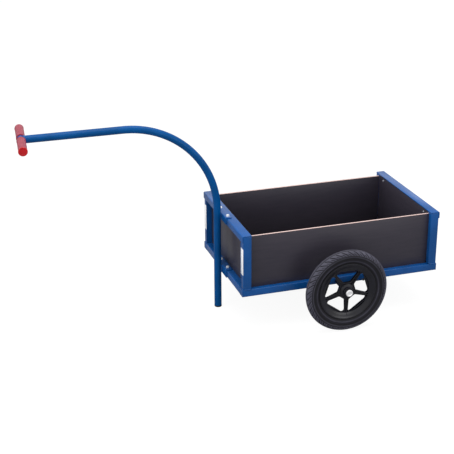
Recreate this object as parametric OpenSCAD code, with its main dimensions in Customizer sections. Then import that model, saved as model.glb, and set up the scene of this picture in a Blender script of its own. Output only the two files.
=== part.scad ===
// Two-wheeled hand cart: welded steel frame, plywood box, bent drawbar with a cross handle.
// Frame: +Z up, +X from the handle towards the tail, -Y is the left side when pulling.
// The origin lies on the floor, under the middle of the cart's outer box.

/* [Box frame] */
// Length of the frame over its side rails
frame_l = 984; // [800:10:1200]
// Width of the frame over its side rails
frame_w = 618; // [520:2:700]
// Height of the frame's underside above the floor
frame_z = 182; // [178:1:186]
// Height of the frame from the underside of the floor rails to the top rails
frame_h = 301; // [250:1:400]
// Width of the floor rail tube, and of a post along the cart
tube_w = 40; // [40:1:50]
// Height of the floor rail tube, and depth of a post across the cart
tube_h = 35; // [35:1:40]
// Wall of the rectangular tubes
tube_wall = 2; // [1.5:0.5:3]

/* [Top rails] */
// Width of the top rail's flat leg
top_leg = 45; // [42:1:55]
// Height of the top rail's hanging leg
top_drop = 32; // [25:1:40]
// Thickness of the top rail's angle
top_t = 4; // [3:0.5:5]

/* [Panels] */
// Thickness of the plywood
ply = 12; // [9:1:15]
// How far the side panels end below the top rails
side_drop = 12; // [5:1:30]
// How far the end panels stand behind the frame's end faces
end_inset = 31; // [30:0.5:31]

/* [Wheels] */
// Outer radius of the tyre
tyre_r = 200; // [195:1:205]
// Width of the tyre
tyre_w = 50; // [46:1:54]
// Distance between the middles of the two tyres
track = 840; // [820:2:900]
// Distance of the axle behind the frame's front face
axle_x = 468; // [420:1:560]
// Radius of the axle
axle_r = 10; // [9:0.5:10]
// Number of wheel spokes
spokes = 5; // [4:1:6]
// Running clearance between the axle and the wheel bushes
bush_gap = 0.05; // [0.02:0.01:0.1]

/* [Drawbar] */
// Radius of the drawbar tube
bar_r = 17.5; // [15:0.5:19]
// Wall of the drawbar tube
bar_wall = 2.5; // [2:0.5:3.5]
// Height of the drawbar's level stretch
bar_z = 939; // [880:1:1000]
// Radius of the bend, at the middle of the tube
bend_r = 435; // [350:5:440]
// Distance from the frame's front face to the middle of the cross handle
reach = 912; // [850:2:1000]
// Length over the two grips
handle_l = 346; // [300:2:420]
// Turn of the cross handle about the vertical
handle_turn = 5; // [0:0.5:8]
// Outer radius of the grips
grip_r = 20.6; // [18:0.2:22]

/* [Hidden] */
$fn = 64;

steel_blue = "#1e4f92";
ply_brown = "#3d3a40";
zinc = "#c8ccd2";
black = "#1c1c20";

half_w = frame_w / 2;
frame_top = frame_z + frame_h;
rail_top = frame_z + tube_h;
post_top = frame_top - top_t;
post_x0 = top_t;
post_x1 = post_x0 + tube_w;
post_in_y = half_w - tube_h;
fit = 0.5;
side_out_y = post_in_y + ply;
end_in_x = end_inset + ply;
floor_top = rail_top + ply;
side_top = frame_top - side_drop;
cross_w = 40;
cross_h = 20;
cross_x = [270, frame_l - 270];
cap_t = 2;

bolt_r = 4;
bolt_af = 13;
bolt_head_h = 5.5;
washer_r = 8;
washer_t = 1.6;
nut_h = 6.5;
small_r = 3;
small_head_r = 6;
small_head_h = 3.2;
small_nut_af = 10;
small_nut_h = 5;
panel_bolt_y = 227;
panel_bolt_z = frame_top - 24;
lug_w = 26;
lug_h = 34;
lug_t = 3;
screw_r = 2;
screw_head_r = 4;
screw_head_h = 2.5;
screw_reach = 20;
screw_y = post_in_y + ply / 2;
screw_side_x = [160, 620, frame_l - 160];
screw_end_y = 190;
screw_end_x = end_inset + 4;
pin_r = 3;
pin_in = 8;
pin_out = 10;
pin_z = side_top - 30;
floor_bolt_y = 150;

plate_t = 6;
shelf_t = 5;
bracket_hw = 78;
bracket_depth = 24;
upper_plate_z = frame_top - 28;
bolt_x = 11;
upper_bolt_y = 56;
lower_bolt_y = 50;
bar_x = -(plate_t + bar_r);
bend_x = bar_x - bend_r;
bend_z = bar_z - bend_r;
foot_t = 7;
foot_lip = 0.4;
foot_stem_r = 14.8;
foot_h = 32;

cross_r = 15;
cross_wall = 2;
grip_gap = 38;
grip_end = 4;
grip_flange = 1.2;

hub_half = 26;
hub_r = 23;
bush_r = 14;
bush_flange_r = 18;
bush_flange = 2;
bush_l = 22;
sleeve_r = 13;
sleeve_out = 2;
wheel_play = 0.5;
washer_end_t = 3;
washer_end_r = 18;
cap_r = 20;
cap_h = 9;
axle_in_cap = 4;
wheel_y = track / 2;
hub_out_y = wheel_y + hub_half + bush_flange;
hub_in_y = wheel_y - hub_half - bush_flange;
washer_y = hub_out_y + wheel_play;
cap_y = washer_y + washer_end_t;
axle_half = cap_y + axle_in_cap;

bead_r = 132;
bead_half = 16;
flange_r = 139;
flange_t = 3.5;
dish_r = 136;
rim_in_r = 104;
tyre_mid_r = tyre_r - tyre_w / 2;
inner_tube_r = 18;
inner_tube_wall = 1.5;
web_half = 9;
spoke_half = 9;
chord_r = 100;
window_in_r = 40;
valve_angle = 27;
valve_r = 4;
valve_in_r = 88;
valve_l = tyre_mid_r - inner_tube_r + inner_tube_wall - valve_in_r;
valve_cap_l = 9;

handle_half_x = handle_l / 2 * sin(handle_turn) + grip_r * cos(handle_turn);
min_x = -(reach + handle_half_x);
max_x = frame_l;
mid_x = (min_x + max_x) / 2;

// ---------- helpers ----------

// Puts a child drawn from the frame's front face into the part's own frame
module place() {
    translate([-mid_x, 0, 0]) children();
}

module across(y, flip = false) {
    translate([0, y, 0]) rotate([flip ? -90 : 90, 0, 0]) children();
}

module box_at(lo, hi) {
    translate(lo) cube([hi[0] - lo[0], hi[1] - lo[1], hi[2] - lo[2]]);
}

// A rectangular tube between two corners, open along the axis given
module box_tube(lo, hi, axis) {
    w = tube_wall;
    in_lo = [for (i = [0:2]) lo[i] + (i == axis ? -1 : w)];
    in_hi = [for (i = [0:2]) hi[i] + (i == axis ? 1 : -w)];
    difference() {
        box_at(lo, hi);
        box_at(in_lo, in_hi);
    }
}

// A hexagon with two of its flats square to X
module hex_prism(af, h) {
    rotate([0, 0, 30]) cylinder(d = af / cos(30), h = h, $fn = 6);
}

module ring(r_out, r_in, h) {
    difference() {
        cylinder(r = r_out, h = h);
        translate([0, 0, -1]) cylinder(r = r_in, h = h + 2);
    }
}

module upright_holes(points, r, z0, z1) {
    for (p = points) translate([p[0], p[1], z0]) cylinder(r = r, h = z1 - z0, $fn = 32);
}

// ---------- floor frame ----------

module side_rail(s) {
    screws = [for (x = screw_side_x) [x, s * screw_y]];
    y0 = s > 0 ? half_w - tube_w : -half_w;
    color(steel_blue) place() difference() {
        box_tube([cap_t, y0, frame_z],
            [frame_l - cap_t, y0 + tube_w, rail_top], 0);
        translate([axle_x, half_w + 10, tyre_r]) rotate([90, 0, 0])
            cylinder(r = sleeve_r, h = frame_w + 20);
        upright_holes(screws, screw_r, frame_z - 1, rail_top + 1);
    }
}

module end_rail(x0, holes) {
    y = half_w - tube_w;
    color(steel_blue) place() difference() {
        box_tube([x0, -y, frame_z], [x0 + tube_w, y, rail_top], 1);
        upright_holes(holes[0], bolt_r, frame_z - 1, rail_top + 1);
        upright_holes(holes[1], screw_r, frame_z - 1, rail_top + 1);
    }
}

function end_screws(x) = [for (s = [-1, 1]) [x, s * screw_end_y]];
front_screws = end_screws(screw_end_x);
rear_screws = end_screws(frame_l - screw_end_x);
lower_bolts = [for (s = [-1, 1]) [bolt_x, s * lower_bolt_y]];
upper_bolts = [for (s = [-1, 1]) [bolt_x, s * upper_bolt_y]];

module left_floor_rail() side_rail(-1);
module right_floor_rail() side_rail(1);
module front_floor_rail() end_rail(0, [lower_bolts, front_screws]);
module rear_floor_rail() end_rail(frame_l - tube_w, [[], rear_screws]);

module cross_member(x) {
    y = half_w - tube_w;
    color(steel_blue) place() difference() {
        box_tube([x - cross_w / 2, -y, rail_top - cross_h], [x + cross_w / 2, y, rail_top], 1);
        upright_holes([[x, -floor_bolt_y], [x, floor_bolt_y]], small_r, rail_top - 5,
            rail_top + 1);
    }
}

module front_cross_member() cross_member(cross_x[0]);
module rear_cross_member() cross_member(cross_x[1]);

module rail_end_caps() {
    color(steel_blue) place()
        for (s = [-1, 1], x = [0, frame_l - cap_t]) {
            y0 = s > 0 ? half_w - tube_w : -half_w;
            box_at([x, y0, frame_z], [x + cap_t, y0 + tube_w, rail_top]);
        }
}

// ---------- posts and top rails ----------

module post(x0, s) {
    y0 = s > 0 ? post_in_y : -half_w;
    color(steel_blue) place() difference() {
        box_tube([x0, y0, rail_top], [x0 + tube_w, y0 + tube_h, post_top], 2);
        translate([x0 - 1, s * screw_y, pin_z]) rotate([0, 90, 0])
            cylinder(r = pin_r, h = tube_w + 2, $fn = 32);
    }
}

rear_post_x = frame_l - post_x1;

module front_left_post() post(post_x0, -1);
module front_right_post() post(post_x0, 1);
module rear_left_post() post(rear_post_x, -1);
module rear_right_post() post(rear_post_x, 1);

// Top rail of the front end; the rear one is its mirror image, without the drawbar's bolt holes
module top_rail(holes) {
    difference() {
        union() {
            box_at([0, -half_w, post_top], [top_leg, half_w, frame_top]);
            box_at([0, -half_w, frame_top - top_drop], [top_t, half_w, frame_top]);
        }
        upright_holes(holes, bolt_r, post_top - 1, frame_top + 1);
    }
}

module at_tail() {
    translate([frame_l, 0, 0]) mirror([1, 0, 0]) children();
}

module front_top_rail() color(steel_blue) place() top_rail(upper_bolts);
module rear_top_rail() color(steel_blue) place() at_tail() top_rail([]);

module both_ends() {
    children();
    at_tail() children();
}

module lug(y) {
    difference() {
        box_at([end_inset - lug_t, y - lug_w / 2, post_top - lug_h],
            [end_inset, y + lug_w / 2, post_top]);
        translate([end_inset - lug_t - 1, y, panel_bolt_z]) rotate([0, 90, 0])
            cylinder(r = small_r, h = lug_t + 2, $fn = 32);
    }
}

module panel_lugs() {
    color(steel_blue) place() both_ends()
        for (s = [-1, 1]) lug(s * panel_bolt_y);
}

// ---------- panels ----------

module floor_panel() {
    bolts = [for (x = cross_x, s = [-1, 1]) [x, s * floor_bolt_y]];
    color(ply_brown) place() difference() {
        box_at([end_in_x + fit, fit - post_in_y, rail_top],
            [frame_l - end_in_x - fit, post_in_y - fit, floor_top]);
        upright_holes(bolts, small_r, rail_top - 1, floor_top + 1);
        upright_holes(bolts, small_head_r, floor_top - small_head_h, floor_top + 1);
    }
}

module side_panel(s) {
    y0 = s > 0 ? post_in_y : -side_out_y;
    screws = [for (x = screw_side_x) [x, s * screw_y]];
    color(ply_brown) place() difference() {
        box_at([post_x1 + fit, y0, rail_top], [frame_l - post_x1 - fit, y0 + ply, side_top]);
        upright_holes(screws, screw_r, rail_top - 1, rail_top + screw_reach);
        for (x = [post_x1, frame_l - post_x1 - pin_out])
            translate([x, s * screw_y, pin_z]) rotate([0, 90, 0])
                cylinder(r = pin_r, h = pin_out, $fn = 32);
    }
}

module left_side_panel() side_panel(-1);
module right_side_panel() side_panel(1);

module end_panel() {
    color(ply_brown) difference() {
        box_at([end_inset, fit - post_in_y, rail_top], [end_in_x, post_in_y - fit, post_top]);
        upright_holes(front_screws, screw_r, rail_top - 1, rail_top + screw_reach);
        for (s = [-1, 1]) translate([end_inset - 1, s * panel_bolt_y, panel_bolt_z])
            rotate([0, 90, 0]) cylinder(r = small_r, h = ply + 2, $fn = 32);
    }
}

module front_panel() place() end_panel();
module rear_panel() place() at_tail() end_panel();

module panel_bolts() {
    shank = ply + lug_t + small_nut_h;
    color(zinc) place() both_ends() for (s = [-1, 1])
        translate([end_in_x, s * panel_bolt_y, panel_bolt_z]) rotate([0, -90, 0]) {
            cylinder(r = small_r, h = shank, $fn = 32);
            translate([0, 0, -small_head_h]) cylinder(r = small_head_r, h = small_head_h);
        }
}

module panel_nuts() {
    color(zinc) place() both_ends() for (s = [-1, 1])
        translate([end_inset - lug_t, s * panel_bolt_y, panel_bolt_z]) rotate([0, -90, 0])
            difference() {
                hex_prism(small_nut_af, small_nut_h);
                translate([0, 0, -1]) cylinder(r = small_r, h = small_nut_h + 2, $fn = 32);
            }
}

module panel_screws() {
    sides = [for (x = screw_side_x, s = [-1, 1]) [x, s * screw_y]];
    color(zinc) place() for (p = concat(sides, front_screws, rear_screws))
        translate([p[0], p[1], frame_z]) {
            cylinder(r = screw_r, h = tube_h + screw_reach, $fn = 32);
            translate([0, 0, -screw_head_h]) cylinder(r = screw_head_r, h = screw_head_h);
        }
}

module panel_pins() {
    color(zinc) place() both_ends() for (s = [-1, 1])
        translate([post_x1 - pin_in, s * screw_y, pin_z]) rotate([0, 90, 0])
            cylinder(r = pin_r, h = pin_in + pin_out, $fn = 32);
}

module floor_bolts() {
    color(zinc) place() for (x = cross_x, s = [-1, 1])
        translate([x, s * floor_bolt_y, rail_top - tube_wall]) {
            cylinder(r = small_r, h = tube_wall + ply, $fn = 32);
            translate([0, 0, tube_wall + ply - small_head_h])
                cylinder(r = small_head_r, h = small_head_h);
        }
}

module front_reflectors() {
    strip_t = 0.6;
    strip_lo = frame_z + 108;
    strip_hi = frame_z + 237;
    color("white") place() for (s = [-1, 1])
        box_at([post_x0 - strip_t, s > 0 ? post_in_y + 1 : 1 - half_w, strip_lo],
            [post_x0, s > 0 ? half_w - 1 : -post_in_y - 1, strip_hi]);
}

// ---------- drawbar ----------

module bar_shape(r, foot_z) {
    translate([-reach, 0, bar_z]) rotate([0, 90, 0]) cylinder(r = r, h = reach + bend_x);
    translate([bend_x, 0, bend_z]) rotate([90, 0, 0])
        rotate_extrude(angle = 90) translate([bend_r, 0]) circle(r = r);
    translate([bar_x, 0, foot_z]) cylinder(r = r, h = bend_z - foot_z);
}

module drawbar_tube() {
    color(steel_blue) place() difference() {
        bar_shape(bar_r, foot_t);
        bar_shape(bar_r - bar_wall, foot_t - 1);
        handle_axis() translate([0, 0, -60]) cylinder(r = cross_r, h = 120);
    }
}

// Shelf on the rail, plate in front of it, and the fillet that the tube is welded into
module bracket(z_low, z_rail, bolts) {
    weld = 9;
    z_top = z_rail + shelf_t;
    color(steel_blue) place() difference() {
        union() {
            box_at([-plate_t, -bracket_hw, z_low], [0, bracket_hw, z_top]);
            box_at([-plate_t, -bracket_hw, z_rail], [bracket_depth, bracket_hw, z_top]);
            box_at([-plate_t - weld, -bar_r, z_low], [-plate_t, bar_r, z_top]);
        }
        translate([bar_x, 0, z_low - 1]) cylinder(r = bar_r, h = z_top - z_low + 2);
        upright_holes(bolts, bolt_r, z_rail - 1, z_top + 1);
    }
}

module upper_bracket() bracket(upper_plate_z, frame_top, upper_bolts);
module lower_bracket() bracket(frame_z, rail_top, lower_bolts);

module hex_bolt(z_seat, z_end) {
    translate([0, 0, z_end]) cylinder(r = bolt_r, h = z_seat - z_end, $fn = 32);
    translate([0, 0, z_seat]) hex_prism(bolt_af, bolt_head_h);
}

upper_seat = frame_top + shelf_t + washer_t;
lower_seat = rail_top + shelf_t + washer_t;

module bracket_bolts() {
    color(zinc) place() {
        for (p = upper_bolts) translate(p) hex_bolt(upper_seat, post_top - nut_h - 2);
        for (p = lower_bolts) translate(p) hex_bolt(lower_seat, frame_z - nut_h - 2);
    }
}

module bracket_washers() {
    color(zinc) place() {
        for (p = upper_bolts) translate([p[0], p[1], frame_top + shelf_t])
            ring(washer_r, bolt_r, washer_t);
        for (p = lower_bolts) translate([p[0], p[1], rail_top + shelf_t])
            ring(washer_r, bolt_r, washer_t);
    }
}

module hex_nut(z) {
    translate([0, 0, z - nut_h]) difference() {
        hex_prism(bolt_af, nut_h);
        translate([0, 0, -1]) cylinder(r = bolt_r, h = nut_h + 2, $fn = 32);
    }
}

module bracket_nuts() {
    color(zinc) place() {
        for (p = upper_bolts) translate(p) hex_nut(post_top);
        for (p = lower_bolts) translate(p) hex_nut(frame_z);
    }
}

// Local +Z points out of the left end of the cross handle
module handle_axis() {
    translate([-reach, 0, bar_z]) rotate([0, 0, -handle_turn]) rotate([90, 0, 0]) children();
}

module cross_handle_tube() {
    half = handle_l / 2 - grip_end;
    color(steel_blue) place() handle_axis() translate([0, 0, -half])
        ring(cross_r, cross_r - cross_wall, 2 * half);
}

// A push-on grip: sleeve, closed outer end with a small flange, flange at the inner end
module grip(s) {
    near = grip_gap / 2;
    far = handle_l / 2;
    r = grip_r - grip_flange;
    collar = near + 5;
    bead = 4;
    ramp = 2;
    color("#b5485f") place() handle_axis() rotate([s > 0 ? 180 : 0, 0, 0])
        rotate_extrude() polygon([[cross_r, near], [grip_r, near], [grip_r, collar],
            [r, collar + ramp], [r, far - bead - 2 * ramp], [grip_r, far - bead - ramp],
            [grip_r, far - ramp], [grip_r - ramp, far], [0, far], [0, far - grip_end],
            [cross_r, far - grip_end]]);
}

module left_grip() grip(-1);
module right_grip() grip(1);

// Plug in the foot of the tube, with a thick tread under the tube's end
module foot_cap() {
    color(black) place() translate([bar_x, 0, 0]) {
        cylinder(r = bar_r + foot_lip, h = foot_t);
        cylinder(r = foot_stem_r, h = foot_h);
    }
}

// ---------- axle ----------

module axle() {
    color(zinc) place() translate([axle_x, axle_half, tyre_r]) rotate([90, 0, 0])
        cylinder(r = axle_r, h = 2 * axle_half);
}

// Draws a left-hand piece with its local +Z pointing outwards; s mirrors it to the right
module axle_piece(s) {
    place() mirror([0, s > 0 ? 1 : 0, 0]) translate([axle_x, 0, tyre_r])
        rotate([90, 0, 0]) children();
}

module axle_sleeve(s) {
    color(steel_blue) axle_piece(s) translate([0, 0, half_w - tube_w - sleeve_out])
        ring(sleeve_r, axle_r, tube_w + 2 * sleeve_out);
}

module left_axle_sleeve() axle_sleeve(-1);
module right_axle_sleeve() axle_sleeve(1);

module axle_spacer(s) {
    y0 = half_w + sleeve_out;
    color(black) axle_piece(s) translate([0, 0, y0])
        ring(sleeve_r, axle_r, hub_in_y - wheel_play - y0);
}

module left_axle_spacer() axle_spacer(-1);
module right_axle_spacer() axle_spacer(1);

module end_washers() {
    color(black) for (s = [-1, 1]) axle_piece(s)
        translate([0, 0, washer_y]) ring(washer_end_r, axle_r, washer_end_t);
}

// Domed push-on cap over the axle's end
module axle_cap(s) {
    dome = 26;
    brim_h = 2;
    brim_w = 3.5;
    bore = axle_in_cap + fit;
    color("silver") axle_piece(s) translate([0, 0, cap_y]) difference() {
        union() {
            cylinder(r = cap_r, h = brim_h);
            intersection() {
                cylinder(r = cap_r - brim_w, h = cap_h);
                translate([0, 0, cap_h - dome]) sphere(r = dome);
            }
        }
        translate([0, 0, -1]) cylinder(r = axle_r, h = 1 + bore);
    }
}

module left_axle_cap() axle_cap(-1);
module right_axle_cap() axle_cap(1);

// ---------- wheels ----------

module wheel_piece(s) {
    axle_piece(s) translate([0, 0, wheel_y]) children();
}

// Outline of the opening between two spokes, its outer edge a straight chord
module window() {
    a = 180 / spokes;
    side = chord_r * tan(a) - spoke_half / cos(a);
    cut = 9;
    inner = window_in_r;
    inner_half = inner * tan(a) - spoke_half / cos(a);
    slope = (side - inner_half) / (chord_r - inner);
    polygon([[inner, -inner_half], [chord_r - cut, -side + cut * slope],
        [chord_r, -side + cut * slope + cut * 0.6], [chord_r, side - cut * slope - cut * 0.6],
        [chord_r - cut, side - cut * slope], [inner, inner_half]]);
}

module barrel_profile() {
    lip = bead_half + flange_t;
    polygon([[rim_in_r, -web_half], [dish_r, -lip], [flange_r, -lip],
        [flange_r, -bead_half], [bead_r, -bead_half], [bead_r, bead_half],
        [flange_r, bead_half], [flange_r, lip], [dish_r, lip], [rim_in_r, web_half]]);
}

module rim(s) {
    color(black) wheel_piece(s) difference() {
        union() {
            rotate_extrude($fn = 96) barrel_profile();
            translate([0, 0, -web_half]) cylinder(r = rim_in_r + 1, h = 2 * web_half);
            translate([0, 0, -hub_half]) cylinder(r = hub_r, h = 2 * hub_half);
        }
        translate([0, 0, -hub_half - 1]) cylinder(r = bush_r, h = 2 * hub_half + 2);
        for (i = [0:spokes - 1]) rotate([0, 0, -90 + (i + 0.5) * 360 / spokes])
            translate([0, 0, -hub_half]) linear_extrude(2 * hub_half) window();
        rotate([0, 0, valve_angle]) rotate([0, 90, 0]) translate([0, 0, chord_r - 10])
            cylinder(r = valve_r, h = bead_r, $fn = 32);
    }
}

module left_rim() rim(-1);
module right_rim() rim(1);

module tyre_section() {
    shoulder = tyre_w / 2;
    slot = 8;
    difference() {
        union() {
            translate([tyre_mid_r, 0]) circle(r = shoulder);
            polygon([[bead_r, -bead_half], [flange_r, -bead_half], [tyre_mid_r, -shoulder],
                [tyre_mid_r, shoulder], [flange_r, bead_half], [bead_r, bead_half]]);
        }
        translate([tyre_mid_r, 0]) circle(r = inner_tube_r);
        translate([bead_r - 1, -slot]) square([tyre_mid_r - bead_r, 2 * slot]);
    }
}

module tyre(s) {
    color(black) wheel_piece(s) rotate_extrude($fn = 96) tyre_section();
}

module left_tyre() tyre(-1);
module right_tyre() tyre(1);

module inner_tube(s) {
    color("#303034") wheel_piece(s) difference() {
        rotate_extrude($fn = 96) translate([tyre_mid_r, 0]) difference() {
            circle(r = inner_tube_r);
            circle(r = inner_tube_r - inner_tube_wall);
        }
        rotate([0, 0, valve_angle]) rotate([0, 90, 0]) translate([0, 0, bead_r])
            cylinder(r = valve_r, h = tyre_mid_r - bead_r, $fn = 32);
    }
}

module left_inner_tube() inner_tube(-1);
module right_inner_tube() inner_tube(1);

// A flanged plain bush; side is +1 at the hub's outer end and -1 at its inner end
module bush(s, side) {
    color(black) wheel_piece(s) rotate([side > 0 ? 0 : 180, 0, 0]) difference() {
        union() {
            translate([0, 0, hub_half - bush_l]) cylinder(r = bush_r, h = bush_l);
            translate([0, 0, hub_half]) cylinder(r = bush_flange_r, h = bush_flange);
        }
        translate([0, 0, hub_half - bush_l - 1])
            cylinder(r = axle_r + bush_gap, h = bush_l + bush_flange + 2);
    }
}

module left_outer_bush() bush(-1, 1);
module left_inner_bush() bush(-1, -1);
module right_outer_bush() bush(1, 1);
module right_inner_bush() bush(1, -1);

module valve(s) {
    color(black) wheel_piece(s) rotate([0, 0, valve_angle]) rotate([0, 90, 0])
        translate([0, 0, valve_in_r]) {
            cylinder(r = valve_r, h = valve_l, $fn = 32);
            cylinder(r = valve_r + 1, h = valve_cap_l, $fn = 32);
        }
}

module left_valve() valve(-1);
module right_valve() valve(1);

left_floor_rail();
right_floor_rail();
front_floor_rail();
rear_floor_rail();
front_cross_member();
rear_cross_member();
rail_end_caps();
front_left_post();
front_right_post();
rear_left_post();
rear_right_post();
front_top_rail();
rear_top_rail();
panel_lugs();
floor_panel();
left_side_panel();
right_side_panel();
front_panel();
rear_panel();
panel_bolts();
panel_nuts();
panel_screws();
panel_pins();
floor_bolts();
front_reflectors();
drawbar_tube();
upper_bracket();
lower_bracket();
bracket_bolts();
bracket_washers();
bracket_nuts();
cross_handle_tube();
left_grip();
right_grip();
foot_cap();
axle();
left_axle_sleeve();
right_axle_sleeve();
left_axle_spacer();
right_axle_spacer();
end_washers();
left_axle_cap();
right_axle_cap();
left_rim();
left_tyre();
left_inner_tube();
left_outer_bush();
left_inner_bush();
left_valve();
right_rim();
right_tyre();
right_inner_tube();
right_outer_bush();
right_inner_bush();
right_valve();
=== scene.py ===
"""A two-wheeled hand cart: its looks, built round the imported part.

Shapes are drawn in millimetres, with X measured from the frame's front face, and piece() puts
them into the row frame in metres.
"""

import math

import bmesh
import bpy
from mathutils import Matrix, Vector


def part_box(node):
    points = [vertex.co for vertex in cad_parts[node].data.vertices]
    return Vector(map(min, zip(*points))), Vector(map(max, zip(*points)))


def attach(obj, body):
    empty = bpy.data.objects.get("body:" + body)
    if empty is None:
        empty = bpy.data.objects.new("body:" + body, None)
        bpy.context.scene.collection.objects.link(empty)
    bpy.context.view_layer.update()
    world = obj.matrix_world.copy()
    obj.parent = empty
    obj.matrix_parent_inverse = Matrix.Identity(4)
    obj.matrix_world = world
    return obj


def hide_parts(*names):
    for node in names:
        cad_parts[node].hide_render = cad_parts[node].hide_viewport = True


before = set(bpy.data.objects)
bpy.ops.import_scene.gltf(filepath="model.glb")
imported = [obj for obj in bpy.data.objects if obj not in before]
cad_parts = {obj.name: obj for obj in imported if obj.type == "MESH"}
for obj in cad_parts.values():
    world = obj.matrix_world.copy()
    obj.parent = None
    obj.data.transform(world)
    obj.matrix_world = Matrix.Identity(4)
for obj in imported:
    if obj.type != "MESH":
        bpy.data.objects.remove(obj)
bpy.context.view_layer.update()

MM = 0.001
SIDES = {"left": -1, "right": 1}
FRONT_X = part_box("front_top_rail")[0].x
TO_ROW = Matrix.Translation((FRONT_X, 0, 0)) @ Matrix.Scale(MM, 4)


def span(node):
    """The corners of a CAD node in millimetres, X from the frame's front face."""
    low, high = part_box(node)
    return TO_ROW.inverted() @ low, TO_ROW.inverted() @ high


def middle_of(node):
    """The middle of a CAD node to a tenth of a millimetre."""
    low, high = span(node)
    return Vector([round(value, 1) for value in (low + high) / 2])


# ---------- finishes ----------


def srgb(red, green, blue):
    """A colour given in 0 to 255 screen values, as the shader's linear values."""
    screen = [c / 255 for c in (red, green, blue)]
    linear = [((c + 0.055) / 1.055) ** 2.4 if c > 0.04045 else c / 12.92 for c in screen]
    return (*linear, 1.0)


class Value:
    """A shader output whose arithmetic is done by Math nodes."""

    def __init__(self, finish, socket):
        self.finish = finish
        self.socket = socket

    def math(self, operation, *values):
        return self.finish.node("ShaderNodeMath", {"operation": operation}, dict(enumerate(values)))

    def __add__(self, other):
        return self.math("ADD", self, other)

    def __radd__(self, other):
        return self.math("ADD", other, self)

    def __sub__(self, other):
        return self.math("SUBTRACT", self, other)

    def __rsub__(self, other):
        return self.math("SUBTRACT", other, self)

    def __mul__(self, other):
        return self.math("MULTIPLY", self, other)

    def __rmul__(self, other):
        return self.math("MULTIPLY", other, self)

    def __abs__(self):
        return self.math("ABSOLUTE", self)

    def sine(self):
        return self.math("SINE", self)

    def fade(self, start, end):
        """0 below start and 1 above end, or the other way round where end is lower."""
        sockets = {0: self, 1: start, 2: end}
        return self.finish.node("ShaderNodeMapRange", {"interpolation_type": "SMOOTHSTEP"}, sockets)


class Finish:
    """A material under construction, on the piece's own Object coordinates."""

    def __init__(self, name, colour, roughness, **constants):
        self.material = bpy.data.materials.new(name)
        self.material.use_nodes = True
        self.tree = self.material.node_tree
        self.shader = self.tree.nodes["Principled BSDF"]
        self.feed("Base Color", colour)
        self.feed("Roughness", roughness)
        for socket, value in constants.items():
            self.feed(socket.replace("_", " "), value)

    def feed(self, socket, value, node=None):
        target = (node or self.shader).inputs[socket]
        if isinstance(value, Value):
            self.tree.links.new(value.socket, target)
        else:
            target.default_value = value

    def node(self, kind, settings=None, sockets=None, output=0):
        made = self.tree.nodes.new(kind)
        for name, value in (settings or {}).items():
            setattr(made, name, value)
        for socket, value in (sockets or {}).items():
            self.feed(socket, value, made)
        return Value(self, made.outputs[output])

    def spot(self):
        return self.node("ShaderNodeTexCoord", output="Object")

    def axes(self):
        cut = self.node("ShaderNodeSeparateXYZ", sockets={0: self.spot()})
        return [Value(self, cut.socket.node.outputs[i]) for i in range(3)]

    def painted(self, name):
        """A value stored on the piece's own vertices."""
        return self.node("ShaderNodeAttribute", {"attribute_name": name}, output="Fac")

    def noise(self, scale, detail=3.0, stretch=(1, 1, 1)):
        """Clouds between 0 and 1, scale to the metre, drawn out along the axes by stretch."""
        sockets = {"Vector": self.spot(), "Scale": stretch}
        vector = self.node("ShaderNodeMapping", sockets=sockets)
        return self.node("ShaderNodeTexNoise", sockets={"Vector": vector, "Scale": scale, "Detail": detail})

    def mix(self, mask, low, high):
        """The colour low where the mask is 0 and high where it is 1."""
        return self.node("ShaderNodeMix", {"data_type": "RGBA"}, {0: mask, 6: low, 7: high}, output=2)

    def bump(self, height, depth):
        """Relief of the given depth in millimetres."""
        sockets = {"Height": height, "Distance": depth * MM, "Strength": 1.0}
        self.feed("Normal", self.node("ShaderNodeBump", sockets=sockets))


def powder_blue(name, low, high, shine):
    """Blue powder coat: fine orange peel and a slight unevenness of shade."""
    coat = Finish(name, low, 0.36, Specular_IOR_Level=shine)
    shade = coat.noise(9, 2).fade(0.35, 0.7)
    coat.feed("Base Color", coat.mix(shade, low, high))
    peel = coat.noise(420, 1)
    coat.feed("Roughness", 0.24 + peel * 0.08)
    coat.bump(peel + coat.noise(1400, 1) * 0.25, 0.05)
    return coat.material


def film_board(name, stretch):
    """Dark phenolic film on plywood: the veneer's grain shows faintly through the film."""
    film = Finish(name, srgb(50, 49, 58), 0.4, Specular_IOR_Level=0.45)
    grain = film.noise(150, 4, stretch)
    blotch = film.noise(5, 2, stretch)
    mask = (grain * 0.45 + blotch * 0.55).fade(0.2, 0.85)
    film.feed("Base Color", film.mix(mask, srgb(44, 42, 53), srgb(58, 53, 63)))
    film.feed("Roughness", 0.36 + grain * 0.08)
    film.bump(grain + film.noise(900, 2) * 0.5, 0.025)
    return film.material


def grip_board():
    """The floor's film, pressed with a fine diamond mesh against slipping; the mesh's grooves are painted
    darker as shade in them.
    """
    film = Finish("film_mesh", srgb(48, 46, 50), 0.5)
    along, across, _ = film.axes()
    pitch = 9 * MM
    turns = math.pi / pitch
    one_way = abs(((along + across) * turns).sine())
    other_way = abs(((along - across) * turns).sine())
    groove = (one_way * other_way).fade(0.05, 0.3)
    # Painted shade: the grooves are coloured darker than the film between them.
    film.feed("Base Color", film.mix(groove, srgb(34, 32, 36), srgb(54, 51, 55)))
    film.feed("Roughness", 0.42 + groove * 0.15)
    film.bump(groove + film.noise(500, 2) * 0.2, 0.25)
    return film.material


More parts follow.
